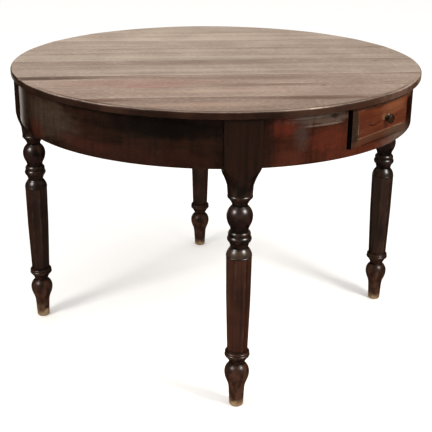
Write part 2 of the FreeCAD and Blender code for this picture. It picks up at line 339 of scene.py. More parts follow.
def makeGrainGroup():
    # growth figure, fine fibre and open pores of sawn wood
    inputs = {"Vector": None, "Ring Width": 0.012, "Wander": 0.4, "Seed": 0.0}
    tree, given, put = newGroup("sawnGrain", inputs, ("Figure", "Fibre", "Pores"))
    vector, seed = given["Vector"], given["Seed"]
    bend = noiseAt(stretched(vector, 1.0, 0.22, 1.0), 6.0, 2.0, 0.5, seed)
    push = (bend - 0.5) * given["Wander"] * 0.12
    wavy = shifted(vector, join(push, 0.0, push))
    rings = calc("DIVIDE", 1.0, given["Ring Width"])
    broad = noiseAt(stretched(wavy, 1.0, 0.035, 0.6), rings, 5.0, 0.68, seed)
    fine = noiseAt(stretched(wavy, 1.0, 0.022, 1.0), 420.0, 3.0, 0.6, seed)
    dashes = noiseAt(stretched(wavy, 1.0, 0.06, 1.0), 900.0, 1.0, 0.5, seed)
    setInputs(put, {"Figure": fade(broad, 0.30, 0.70), "Fibre": fade(fine, 0.25, 0.75),
                    "Pores": fade(dashes, 0.62, 0.74)})
    return tree


def makeAgeGroup():
    # blotches, rubbed places, scratches and dust of long use
    outputs = ("Blotch", "Rubbed", "Scratch", "Specks")
    tree, given, put = newGroup("longUse", {"Vector": None, "Seed": 0.0}, outputs)
    vector, seed = given["Vector"], given["Seed"]
    warp = noiseAt(vector, 30.0, 2.0, 0.5, seed)
    warped = shifted(stretched(vector, 34.0, 11.0, 34.0), join(warp, warp))
    lines = addNode(tree, "ShaderNodeTexVoronoi", {"Vector": warped, "Scale": 1.0, "Randomness": 1.0},
                    "Distance", feature="DISTANCE_TO_EDGE")
    gate = fade(noiseAt(vector, 17.0, 2.0, 0.5, seed), 0.52, 0.62)
    setInputs(put, {"Blotch": fade(noiseAt(vector, 9.0, 4.0, 0.55, seed), 0.32, 0.68),
                    "Rubbed": fade(noiseAt(vector, 42.0, 5.0, 0.65, seed), 0.44, 0.66),
                    "Scratch": fadeOut(lines, 0.0, 0.012) * gate,
                    "Specks": fade(noiseAt(vector, 260.0, 1.0, 0.5, seed), 0.70, 0.76)})
    return tree


grainGroup = makeGrainGroup()
ageGroup = makeAgeGroup()


def newMaterial(name):
    material = bpy.data.materials.new(name)
    material.use_nodes = True
    return material, material.node_tree.nodes["Principled BSDF"]


def startWood(name, along, seed, values):
    # a material with its grain vector and the masks of the two shared groups
    material, shader = newMaterial(name)
    tree = material.node_tree
    place = addNode(tree, "ShaderNodeTexCoord", output="Object")
    vector = along(place)
    grain = useGroup(tree, grainGroup, {"Vector": vector, "Ring Width": values["ringWidth"],
                                        "Wander": values["wander"], "Seed": seed})
    age = useGroup(tree, ageGroup, {"Vector": vector, "Seed": seed})
    setInputs(shader, {"Coat Weight": values.get("coat", 0.0),
                       "Coat Roughness": values.get("coatRoughness", 0.2),
                       "Coat IOR": values.get("coatIor", 1.5),
                       "Specular IOR Level": values.get("shine", 0.3)})
    return SimpleNamespace(material=material, shader=shader, values=values, place=place, vector=vector,
                           **grain, **age)


def attributeOf(wood, name):
    return addNode(wood.vector.tree, "ShaderNodeAttribute", output="Fac", attribute_name=name)


def figured(wood, dark, pale):
    # the growth figure and the blotches between two colours
    values = wood.values
    return blend(wood.figure * values["figureShare"] + wood.blotch * values["blotchShare"], dark, pale)


def lay(wood, mask, name, strength=1.0):
    # one of the wood's named colours over the colour that it has so far
    wood.colour = blend(mask, wood.colour, linear(wood.values[name], strength))


def rubEdges(wood):
    # worn edges, rubbed unevenly
    lay(wood, attributeOf(wood, "worn") * between(wood.rubbed, *wood.values["rubShare"]), "rub")


def relief(wood):
    # fibres stand up a little and scratches are sunk
    return wood.fibre * wood.values["relief"] - wood.scratch


def finishWood(wood, height, rougher=None):
    # blotches are duller than the rest of the finish
    roughness = wood.blotch * wood.values["dull"] + wood.values["roughness"]
    if rougher:
        roughness = roughness + rougher
    inputs = {"Strength": 1.0, "Distance": wood.values["bump"], "Height": height}
    bump = addNode(height.tree, "ShaderNodeBump", inputs)
    setInputs(wood.shader, {"Base Color": wood.colour, "Roughness": roughness, "Normal": bump})
    return wood.material


def grainAlong(axis):
    # a vector whose Y runs along one of the object's axes
    def build(place):
        x, y, z = split(place)
        return join(*{"X": (y, x, z), "Y": (x, y, z), "Z": (x, z, y)}[axis])
    return build


def grainTurned(degrees):
    # a vector whose Y runs along level boards that lie at a turn
    def build(place):
        return addNode(place.tree, "ShaderNodeMapping",
                       {"Vector": place, "Rotation": (0, 0, -math.radians(degrees))}, vector_type="POINT")
    return build


def grainRound(centreTurn, radius):
    # a vector whose Y runs round the table, straight out from the middle of one apron
    def build(place):
        x, y, z = split(grainTurned(centreTurn)(place))
        backwards = y * -1.0
        return join(z, calc("ARCTAN2", x, backwards) * radius, backwards)
    return build


# The top

topValues = {
    "turn": 46.9,
    "underRound": 0.002, "underSteps": 2,
    "upperRound": 0.005, "upperSteps": 5,
    "rimSteps": 384,
    "arris": 0.0009,
    "cup": 0.0005,
    "cupLines": 6,
    "crossLines": 14,
}

# One row for each board, nearest to the front left leg first: tone, which rises towards the far boards
# partly as a painted sheen, redness, the dark band at its far edge, which is painted shade where the boards
# cup, and the pale line along its near one, which is a painted highlight.
boardLooks = (
    (0.62, 0.35, 0.30, 0.0),
    (0.79, 0.30, 0.20, 0.15),
    (0.81, 0.24, 0.50, 0.15),
    (0.86, 0.08, 0.40, 0.40),
    (0.92, 0.05, 0.25, 0.30),
    (1.02, 0.06, 0.15, 0.15),
    (1.13, 0.03, 0.12, 0.15),
    (1.11, 0.03, 0.10, 0.10),
)

topWood = {
    "ringWidth": 0.034, "wander": 0.30, "shine": 0.06,
    "roughness": 0.40, "dull": 0.12, "smoothFibre": 0.05, "bump": 0.00012,
    # painted sheen: the top's pale and dark colours are lighter than the wood's own, for the sheen of the
    # light across the boards
    "pale": "a89a8c", "dark": "857569", "redPale": "a07f71", "redDark": "7c584a",
    # besides dust, pores and wear, band and pore also give painted shade, and line and rub painted
    # highlights
    "band": "5d4a3f", "line": "c4b6a8", "pore": "4a3a31", "speck": "3f2e25", "scratch": "c3b4a5",
    "side": "331e14", "sideLow": "1a0e08", "rub": "b5a191",
    # shares of the pale colour, of dust and of fine marks
    "figureShare": 0.50, "fibreShare": 0.28, "blotchShare": 0.25, "dust": 0.30, "marks": 0.35, "relief": 0.5,
    "farShade": 0.13, "gap": 0.40, "edgeLine": 0.75, "edgeLineEnd": (-0.42, -0.20),
    "bandWidth": (0.004, 0.030), "gapWidth": 0.0028, "lineFade": (0.001, 0.007),
    # the noise of the dust, and the one that breaks up the lines: scale, detail and roughness
    "fleck": (170.0, 3.0, 0.7), "breakUp": (26.0, 3.0, 0.6),
    # where the rim's stain, its rubbed round, which is also a painted highlight, and the dark line begin and
    # end, inwards from the rim
    "sideFade": (0.0040, 0.0014), "roundIn": (0.0050, 0.0030), "roundOut": (0.0018, 0.0006),
    "lineIn": (0.018, 0.008), "lineOut": (0.005, 0.003),
    # soft streaks of stain and wear, and painted shade and painted highlight beside the joints where the
    # boards cup: (across the boards, along them)
    "streakPull": 0.07,
    "streaks": (
        ((-0.196, 0.470), (0.024, 0.190), "33231b", 0.80),
        ((-0.215, -0.060), (0.028, 0.330), "644f43", 0.55),
        ((-0.178, -0.120), (0.007, 0.400), "b5a596", 0.45),
        ((-0.262, 0.230), (0.052, 0.250), "8c5f53", 0.35),
        ((-0.296, 0.190), (0.016, 0.110), "8d5049", 0.32),
        ((-0.292, -0.090), (0.024, 0.200), "634c40", 0.55),
        ((-0.272, -0.150), (0.004, 0.110), "b7a594", 0.55),
        ((-0.350, 0.020), (0.022, 0.300), "a58f80", 0.50),
        ((-0.428, 0.310), (0.016, 0.120), "54392c", 0.60),
        ((-0.428, -0.200), (0.018, 0.200), "523a2e", 0.65),
        ((-0.478, 0.060), (0.026, 0.200), "99806f", 0.45),
        ((-0.036, 0.020), (0.030, 0.380), "6c5c51", 0.50),
        ((-0.035, 0.440), (0.030, 0.170), "75655a", 0.50),
        ((-0.070, 0.330), (0.012, 0.250), "77685d", 0.40),
        ((-0.120, 0.000), (0.022, 0.420), "a79a8d", 0.40),
        ((0.050, 0.060), (0.022, 0.420), "aea193", 0.40),
        ((0.168, -0.100), (0.008, 0.130), "6d5f55", 0.45),
        ((0.235, 0.000), (0.026, 0.260), "8b7d71", 0.40),
        ((0.300, 0.080), (0.018, 0.330), "b5a899", 0.40),
        ((0.440, -0.020), (0.040, 0.220), "8d8072", 0.45),
        ((-0.021, -0.438), (0.006, 0.010), "3f2e25", 0.80),
        ((-0.307, -0.234), (0.005, 0.012), "3f2e25", 0.70),
    ),
    # where the upper round of the rim is rubbed to pale wood, which is also a painted highlight along the
    # rounded edge
    "wornRim": (
        ((-0.510, -0.135), (0.060, 0.130), 0.90),
        ((-0.452, 0.308), (0.050, 0.070), 0.80),
        ((-0.330, -0.440), (0.100, 0.090), 0.60),
        ((-0.370, 0.410), (0.070, 0.080), 0.75),
    ),
    # wear and dirt of the rim's side
    "rimPatches": (
        ((-0.350, -0.415), (0.130, 0.120), "553f34", 0.70),
        ((-0.200, -0.510), (0.110, 0.050), "6b5c4d", 0.80),
        ((-0.513, -0.170), (0.040, 0.120), "35231a", 0.60),
        ((-0.330, 0.460), (0.220, 0.130), "1c120c", 0.75),
    ),
}

rimRadius = min(*cadHigh[:2], *(-c for c in cadLow[:2]))
insideRim = rimRadius * 0.99  # a board's edge short of this is a joint


def nearBoard(row, low, high):
    # a streak counts on a board where its width reaches it
    place, reach = row[0][0], 1.6 * row[1][0]
    return low - reach < place < high + reach


def topSurface(wood, look, low, high, breakUp):
    # colour of a board's upper face, lighter than the wood's own as a painted sheen: figure, streaks, the
    # dark band and the pale line at its joints, painted shade and painted highlight
    values = wood.values
    tone, redness, bandShare, lineShare = look
    dark, redDark, pale, redPale = (linear(values[name], tone)
                                    for name in ("dark", "redDark", "pale", "redPale"))
    share = wood.figure * values["figureShare"] + wood.fibre * values["fibreShare"]
    share = share + wood.blotch * values["blotchShare"]
    wood.colour = blend(share, mixed(redness, dark, redDark), mixed(redness, pale, redPale))
    # dust and fine wear, which don't follow the grain
    fleck = noiseAt(stretched(wood.vector, 1.0, 0.45, 1.0), *values["fleck"], 2.0)
    lay(wood, fade(fleck, 0.48, 0.72, 0.0, values["dust"]), "line", 0.9)
    lay(wood, fadeOut(fleck, 0.30, 0.50, values["dust"]), "band")
    streaks = [row for row in values["streaks"] if nearBoard(row, low, high)]
    wood.colour = paintPatches(wood.colour, wood.vector, streaks, values["streakPull"])
    across, along = split(wood.vector)[:2]
    # painted shade: the boards darken towards one end, where the sheen of the light falls off
    lay(wood, fadeOut(along, -rimRadius, rimRadius * 0.4, values["farShade"]), "pore")
    # the joints: a dark gap, then painted shade in a band on the far edge and a painted highlight in a pale
    # line on the near edge, where the boards cup
    toFar = high - across
    farShare = calc("DIVIDE", toFar, fade(breakUp, 0.3, 0.7, *values["bandWidth"]))
    band = fadeOut(farShare, 0.0, 1.6, bandShare if high < insideRim else 0.0)
    lay(wood, band, "band")
    gap = fadeOut(toFar, 0.0, values["gapWidth"], values["gap"]) * fade(breakUp, 0.35, 0.55, 1.0, 0.25)
    lay(wood, gap, "pore")
    line = fadeOut(across - low, *values["lineFade"], lineShare) * fade(breakUp, 0.40, 0.60)
    lay(wood, line, "line")
    for mask, name in ((wood.pores, "pore"), (wood.scratch, "scratch"), (wood.specks, "speck")):
        lay(wood, mask * values["marks"], name)


def topRim(wood, breakUp):
    # dark stain on the rim's side, rubbed paler in places on its upper round, where the paler wood is also a
    # painted highlight
    values = wood.values
    reach = lengthOf(join(*split(wood.place)[:2]))

    def rimFade(name, *amounts):
        start, end = values[name]
        return fade(reach, rimRadius - start, rimRadius - end, *amounts)

    side = blend(wood.blotch, values["sideLow"], values["side"])
    side = paintPatches(side, wood.vector, values["rimPatches"])
    wood.colour = blend(rimFade("sideFade"), wood.colour, side)
    # a darker line lies inside the rubbed round
    line = rimFade("lineIn") * rimFade("lineOut", values["edgeLine"], 0.0)
    line = line * fade(breakUp, 0.35, 0.55, 0.45, 1.0)
    nearSide = fadeOut(split(wood.vector)[0], *values["edgeLineEnd"])
    lay(wood, line * nearSide, "band", 0.5)
    share = fade(breakUp, 0.45, 0.62, 0.0, 0.4)
    for index, row in enumerate(values["wornRim"]):
        share = calc("MAXIMUM", share, patchMask(wood.vector, *row, 4.0 + index))
    # the rubbed round is partly painted highlight
    onRound = rimFade("roundIn") * rimFade("roundOut", 1.0, 0.0)
    lay(wood, onRound * share * between(wood.rubbed, 0.4, 1.0), "rub")


def makeTopMaterial(index, low, high):
    values = topWood
    seed = 3.1 * index + 1.7
    wood = startWood("topWood%d" % (index + 1), grainTurned(topValues["turn"]), seed, values)
    breakUp = noiseAt(stretched(wood.vector, 1.0, 0.12, 1.0), *values["breakUp"], seed)
    topSurface(wood, boardLooks[index], low, high, breakUp)
    topRim(wood, breakUp)
    return finishWood(wood, relief(wood) - wood.pores, wood.fibre * -values["smoothFibre"])


def makeBoard(index):
    name = "top_board_%d" % (index + 1)
    values = topValues
    lowest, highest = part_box(name)
    bottom, top = lowest[2], highest[2]
    flatten = turnMatrix(-values["turn"])
    across = [(flatten @ vertex.co).x for vertex in nodes[name].data.vertices]
    low, high = min(across), max(across)
    bm = bmesh.new()
    bmesh.ops.create_circle(bm, cap_ends=True, radius=rimRadius, segments=values["rimSteps"],
                            matrix=Matrix.Translation((0, 0, bottom)))
    grown = bmesh.ops.extrude_face_region(bm, geom=bm.faces[:])["geom"]
    lifted = [g for g in grown if isinstance(g, bmesh.types.BMVert)]
    bmesh.ops.translate(bm, verts=lifted, vec=(0, 0, top - bottom))
    faceOutwards(bm)

    def edgesAt(height):
        return [e for e in bm.edges if all(abs(v.co.z - height) < meshValues["samePlace"] for v in e.verts)]

    easeEdges(bm, edgesAt(top), values["upperRound"], values["upperSteps"])
    easeEdges(bm, edgesAt(bottom), values["underRound"], values["underSteps"])
    if low > -insideRim:
        cutAt(bm, (low, 0, 0), (-1, 0, 0), clear=True)
    if high < insideRim:
        cutAt(bm, (high, 0, 0), (1, 0, 0), clear=True)
    long = [e for e in edgesAt(top)
            if min(sum(abs(v.co.x - x) for v in e.verts) for x in (low, high)) < meshValues["weld"]]
    easeEdges(bm, long, values["arris"])
    # lines along and across the board let it cup and wander a little
    for step in range(1, values["cupLines"]):
        cutAt(bm, (low + (high - low) * step / values["cupLines"], 0, 0), (1, 0, 0))
    for step in range(1, values["crossLines"]):
        cutAt(bm, (0, rimRadius * (2 * step / values["crossLines"] - 1), 0), (0, 1, 0))
    for vertex in bm.verts:
        if vertex.co.z > (bottom + top) / 2:
            share = 2 * (vertex.co.x - low) / (high - low) - 1
            sag = values["cup"] * (1 - share * share)
            sway = noise.noise(Vector((vertex.co.x * 5, vertex.co.y * 4, index * 7.3)))
            vertex.co.z -= sag + values["cup"] * (0.5 + 0.5 * sway)
    moveAll(bm, turnMatrix(values["turn"]))
    material = makeTopMaterial(index, low, high)
    finishPiece(bm, "topBoard%d" % (index + 1), material, "table", [name])


for boardIndex in range(len(boardLooks)):
    makeBoard(boardIndex)
print("top: eight boards")


# The legs

legValues = {
    "ring": 0.506,
    "blockWidth": 0.086,
    "blockDepth": 0.074,
    "blockBottom": 0.620,
    "shoulderRise": 0.014,
    "radius": 0.0312,
    "upperLength": 0.2168,
    "lowerLength": 0.155,
    "shaftFlats": (0.0578, 0.0554, 0.0476),  # across the flats at the top, in the middle and at the bottom
    "shaftMiddle": 0.45,
    "collar": 0.004,
    "step": 0.0004,
    "neck": 0.840,  # of the radius, under the shaft
    "clearance": 0.004,
    "wearBelow": 0.030,  # the turnings' wear ends this far below the block
    "steps": 48,
    "arcSteps": 6,
    "blockEase": 0.0018,
    "shaftEase": 0.0008,
    "shaftWorn": 0.25,
}

# Share of the length down, share of the radius, and how far the line bulges as a share of the radius.
upperTurning = (
    (0.1916, 0.994, -0.112), (0.2951, 0.936, 0.0), (0.2972, 0.897, 0.0), (0.3365, 0.897, 0.064),
    (0.3438, 0.843, 0.0), (0.4039, 0.593, -0.016), (0.4225, 0.587, 0.0), (0.5374, 0.994, 0.100),
    (0.6524, 0.769, 0.057), (0.7000, 0.679, -0.016), (0.7130, 0.679, 0.0), (0.7160, 0.779, 0.0),
    (0.7670, 0.833, 0.051), (0.8300, 0.843, 0.093), (0.8340, 0.795, 0.0), (0.8890, 0.670, -0.010),
    (0.9019, 0.673, 0.0), (0.9880, 0.985, 0.050), (0.9915, 0.955, 0.0), (0.9950, 0.985, 0.0),
)
lowerTurning = (
    (0.015, 0.846, 0.0), (0.021, 0.897, 0.0), (0.060, 0.917, 0.058), (0.117, 0.904, 0.077),
    (0.127, 0.853, 0.0), (0.226, 0.587, -0.016), (0.242, 0.577, 0.0), (0.396, 0.979, 0.110),
    (0.530, 0.840, 0.033), (0.690, 0.628, -0.036), (0.955, 0.560, 0.0), (1.000, 0.455, 0.040),
)

legWood = {
    "ringWidth": 0.010, "wander": 0.5,
    "coat": 0.75, "lowCoat": 0.40, "blockCoat": 0.35, "coatRoughness": 0.31, "coatIor": 1.68,
    "shine": 0.06, "roughness": 0.30, "dull": 0.14, "bareRoughness": 0.3, "bump": 0.0001,
    "figureShare": 0.4, "blotchShare": 0.4, "relief": 0.5,
    "turnedDeep": "0b0604", "turnedWarm": "2a130c", "turnedLow": "4f3020",
    "bell": "241810", "block": "210f06", "blockDark": "170c06",
    "rub": "43301f", "rubShare": (0.1, 0.8), "bare": "8f7556", "grooveDark": "060403", "grooveDarkShare": 0.85,
    # heights where one finish gives way to the next
    "shaft": (0.155, 0.4032), "lowFrom": 0.05, "blockFade": (0.56, 0.62), "coatFade": (0.57, 0.62),
    "bellFade": (0.014, 0.026), "bellShare": 0.55,  # above the shaft
    "bareFade": (0.004, 0.018), "bareShare": 0.85, "paleShare": 0.6, "raggedReach": 0.08,
    # the noise of the turnings' colour and of the bare foot: scale, detail and roughness
    "mottle": (75.0, 4.0, 0.6), "ragged": (62.0, 3.0, 0.6),
    # each leg's turn and colours, and how high up its foot the bare wood shows
    "legs": {
        "leg_front_left": {"turn": -42.3, "deep": "1c0d07", "warm": "4a2412", "foot": 0.035,
                           "bell": "3f3324"},
        "leg_front_right": {"turn": 52.11, "deep": "130b07", "warm": "3f2719", "foot": 0.030},
        "leg_back_right": {"turn": 136.89, "deep": "1e110a", "warm": "4a2a18", "foot": 0.028},
        "leg_back_left": {"turn": 225.27, "deep": "160c07", "warm": "3a1f12", "foot": 0.055},
    },
}


def makeLegMaterial(name, look, seed):
    values = legWood
    wood = startWood("legWood_" + name, grainAlong("Z"), seed, values)
    height = split(wood.place)[2]
    low, high = values["shaft"]
    bellLow, bellHigh = (high + rise for rise in values["bellFade"])
    # the turned parts, browner low down and greyer on the bell
    mottle = fade(noiseAt(stretched(wood.place, 1.0, 1.0, 0.5), *values["mottle"], seed), 0.38, 0.66)
    wood.colour = blend(mottle, values["turnedDeep"], values["turnedWarm"])
    lowShare = fade(height, values["lowFrom"], low, 0.75, 0.25) * between(mottle, 0.35, 1.0)
    lay(wood, lowShare * fadeOut(height, low, low + 0.002), "turnedLow")
    bell = fade(height, high, high + 0.002) * fadeOut(height, bellLow, bellHigh, values["bellShare"])
    wood.colour = blend(bell * between(mottle, 0.6, 1.0), wood.colour, look.get("bell", values["bell"]))
    # the planed shaft and the block
    shaft = fade(height, low - 0.001, low + 0.001) * fadeOut(height, high - 0.001, high + 0.001)
    wood.colour = blend(shaft, wood.colour, figured(wood, look["deep"], look["warm"]))
    block = blend(fade(wood.figure, 0.2, 0.8), values["blockDark"], values["block"])
    wood.colour = blend(fade(height, *values["blockFade"], 0.0, 0.95), wood.colour, block)
    # wear, darkened grooves and the bare foot
    rubEdges(wood)
    lay(wood, attributeOf(wood, "sunk") * values["grooveDarkShare"], "grooveDark")
    ragged = noiseAt(stretched(wood.place, 1.0, 1.0, 0.5), *values["ragged"], seed)
    pale = fadeOut(height, 0.0, look["foot"], values["paleShare"]) * fade(ragged, 0.42, 0.62)
    lay(wood, pale, "bare")
    edge = height + (ragged - 0.5) * values["raggedReach"]
    bare = fadeOut(edge, *values["bareFade"], values["bareShare"])
    lay(wood, bare, "bare")
    polish = fade(height, low - 0.03, low + 0.03, values["lowCoat"], values["coat"])
    polish = polish * fade(height, *values["coatFade"], 1.0, values["blockCoat"])
    setInputs(wood.shader, {"Coat Weight": polish})
    return finishWood(wood, relief(wood), bare * values["bareRoughness"])


def legOutline():
    values = legValues
    clear = math.hypot(values["blockWidth"], values["blockDepth"]) / 2 + values["clearance"]
    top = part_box("leg_front_left")[1][2]
    shoulder = (values["blockBottom"] + values["shoulderRise"], clear)
    shaftTop = values["blockBottom"] - values["upperLength"]
    shaftBottom = values["lowerLength"]
    middle = shaftTop + (shaftBottom - shaftTop) * values["shaftMiddle"]
    corner = 1 / math.cos(math.pi / 8)
    topFlat, middleFlat, bottomFlat = (flat / 2 * corner for flat in values["shaftFlats"])
    neck = (shaftBottom - values["step"], values["neck"] * values["radius"])
    points = [(top, clear), shoulder]
    points += outlineFromShares(upperTurning, shoulder, values["blockBottom"], values["upperLength"], values)
    points += [(shaftTop + values["step"], values["radius"]), (shaftTop, topFlat),
               (shaftTop - values["collar"], topFlat), (middle, middleFlat),
               (shaftBottom + values["collar"], bottomFlat), (shaftBottom, bottomFlat), neck]
    points += outlineFromShares(lowerTurning, neck, shaftBottom, values["lowerLength"], values)
    return points, shaftTop, shaftBottom


def planeShaft(bm, shaftTop, shaftBottom):
    # push the round shaft onto eight flats
    eighth = math.pi / 4

    def onShaft(vertex):
        return shaftBottom - meshValues["weld"] <= vertex.co.z <= shaftTop + meshValues["weld"]

    for vertex in bm.verts:
        if onShaft(vertex):
            angle = math.atan2(vertex.co.y, vertex.co.x)
            off = angle - round(angle / eighth) * eighth
            factor = math.cos(eighth / 2) / math.cos(off)
            vertex.co.x *= factor
            vertex.co.y *= factor
    corners = [e for e in bm.edges if all(onShaft(v) for v in e.verts)
               and abs(e.verts[0].co.z - e.verts[1].co.z) > 0.002 and e.calc_face_angle(0) > 0.4]
    easeEdges(bm, corners, legValues["shaftEase"], worn=legValues["shaftWorn"])


def markTurnedWear(bm, limit):
    # proud places of the turning are rubbed and sunk ones are darkened: the edges there fold out or in
    bm.verts.ensure_lookup_table()
    folds = [[e.calc_face_angle_signed(0) for e in v.link_edges if len(e.link_faces) == 2] for v in bm.verts]
    for name, sign, share in (("worn", 1, 0.8), ("sunk", -1, 1.0)):
        layer = wearLayer(bm, name)
        for face in bm.faces:
            for loop in face.loops:
                strongest = max((sign * fold for fold in folds[loop.vert.index]), default=0)
                if loop.vert.co.z < limit:
                    loop[layer] = max(loop[layer], share * max(0.0, min(1.0, strongest / 0.5)))


def makeLeg(name, turn, material):
    values = legValues
    outline, shaftTop, shaftBottom = legOutline()
    bm = spinOutline(outline, values["steps"])
    halfWidth, halfDepth = values["blockWidth"] / 2, values["blockDepth"] / 2
    for x, y in ((1, 0), (-1, 0), (0, 1), (0, -1)):
        cutAt(bm, (x * halfWidth, y * halfDepth, 0), (x, y, 0), clear=True)
    faceOutwards(bm)
    planeShaft(bm, shaftTop, shaftBottom)
    shoulderLow = values["blockBottom"] - values["wearBelow"]
    markTurnedWear(bm, shoulderLow)
    block = [e for e in sharpEdges(bm) if min(v.co.z for v in e.verts) > shoulderLow]
    easeEdges(bm, block, values["blockEase"], 3)
    moveAll(bm, turnMatrix(turn) @ Matrix.Translation((0, -values["ring"], 0)))
    finishPiece(bm, name.replace("_", ""), material, "table", [name])


for legIndex, (legName, legLook) in enumerate(legWood["legs"].items()):
    makeLeg(legName, legLook["turn"], makeLegMaterial(legName, legLook, 11.0 + 2.3 * legIndex))
print("legs: four turned legs")


# The rails, the drawer and the framing keep their CAD form and get eased, worn edges

def easedCopy(name, label, material, body, width, segments):
    bm = cadCopy(name)
    bmesh.ops.dissolve_limit(bm, angle_limit=math.radians(0.6), verts=bm.verts[:], edges=bm.edges[:])
    faceOutwards(bm)
    easeEdges(bm, sharpEdges(bm), width, segments)
    finishPiece(bm, label, material, body, [name])


apronWood = {
    "ringWidth": 0.016, "wander": 0.8, "coat": 0.20, "coatRoughness": 0.25, "shine": 0.06,
    "roughness": 0.34, "dull": 0.2, "bump": 0.0001,
    "figureShare": 0.6, "blotchShare": 0.4, "streakShare": 0.35, "poreShare": 0.5, "scratchShare": 0.12,
    "relief": 0.5, "mottle": (90.0, 3.0, 0.6), "mottleShare": 0.4,
    "ease": 0.0012,
    "radius": 0.532,
    "rub": "3d281c", "rubShare": (0.10, 0.7), "scratch": "4f443a", "pore": "080403",
    # turn of the middle, colours of the growth figure, and patches of stain and wear, of painted highlight,
    # reflection and shadow, and one near-black patch; a patch lies at (height, run round the rail from its
    # middle)
    "rails": {
        "apron_front": {"turn": 4.9, "deep": "240d05", "warm": "421b0b", "patches": (
            ((0.684, -0.400), (0.080, 0.036), "23130b", 0.80),
            ((0.727, -0.240), (0.013, 0.105), "51443a", 0.68, {"ragged": 1.0, "pull": 0.25}),
            # painted highlight: a grey smudge of sheen between the front left leg and the drawer
            ((0.695, -0.300), (0.036, 0.018), "40362f", 0.45, {"soft": 0.6}),
            ((0.713, -0.240), (0.003, 0.050), "76685c", 0.45, {"pull": 0.12}),
            ((0.733, -0.275), (0.003, 0.050), "6a5c52", 0.50, {"pull": 0.12}),
            ((0.731, -0.215), (0.006, 0.014), "1a0f0a", 0.70),
            ((0.672, -0.225), (0.034, 0.055), "521f0d", 0.60),
            ((0.720, -0.345), (0.022, 0.030), "66210f", 0.40, {"ragged": 0.8, "soft": 0.6}),
            ((0.640, -0.330), (0.024, 0.040), "4a2012", 0.50),
            ((0.633, -0.100), (0.014, 0.160), "54220f", 0.55),
            # painted highlight: a grey band of glancing light along the lower edge, under the drawer
            ((0.628, 0.050), (0.022, 0.080), "6f6257", 0.60, {"soft": 0.8}),
            # painted reflection: glancing light along the upper edge by the drawer's far end
            ((0.735, 0.130), (0.016, 0.060), "66513f", 0.70, {"soft": 0.7}),
            # a near-black patch beside the drawer's far end
            ((0.690, 0.125), (0.028, 0.026), "1f0c07", 0.95, {"ragged": 0.15, "soft": 0.15}),
        )},
        "apron_right": {"turn": 94.5, "deep": "1d0d07", "warm": "3c1b10", "patches": (
            ((0.690, -0.150), (0.040, 0.150), "2b1a10", 0.50),
        )},
        "apron_back": {"turn": 181.1, "deep": "1c0e08", "warm": "381b10", "patches": (
            ((0.655, 0.120), (0.030, 0.140), "4a2012", 0.5),
        )},
        "apron_left": {"turn": -88.5, "deep": "140a05", "warm": "2c160a", "patches": (
            # painted shadow: a near-black band under the top's overhang
            ((0.715, 0.230), (0.028, 0.170), "080604", 0.80),
            ((0.645, 0.180), (0.026, 0.200), "2e140a", 0.55),
            ((0.690, -0.090), (0.055, 0.120), "42362a", 0.55),
            ((0.650, -0.150), (0.026, 0.040), "43190f", 0.50),
            ((0.652, 0.030), (0.020, 0.090), "3c1b10", 0.40),
        )},
    },
}


def makeApronMaterial(name, rail):
    values = apronWood
    along = grainRound(rail["turn"], values["radius"])
    wood = startWood("apronWood_" + name, along, rail["turn"] * 0.13 + 5.0, values)
    wood.colour = paintPatches(figured(wood, rail["deep"], rail["warm"]), wood.vector, rail["patches"])
    lay(wood, (1.0 - wood.fibre) * values["streakShare"], "pore")
    # the veneer is mottled in upright streaks as well
    mottle = noiseAt(stretched(wood.vector, 0.14, 1.0, 1.0), *values["mottle"], 6.0)
    lay(wood, fade(mottle, 0.45, 0.75, 0.0, values["mottleShare"]), "pore")
    lay(wood, wood.pores * values["poreShare"], "pore")
    rubEdges(wood)
    lay(wood, wood.scratch * values["scratchShare"], "scratch")
    return finishWood(wood, relief(wood))


for railName, rail in apronWood["rails"].items():
    railMaterial = makeApronMaterial(railName, rail)
    easedCopy(railName, railName.replace("_", ""), railMaterial, "table", apronWood["ease"], 3)
print("aprons: four curved rails")


# The drawer

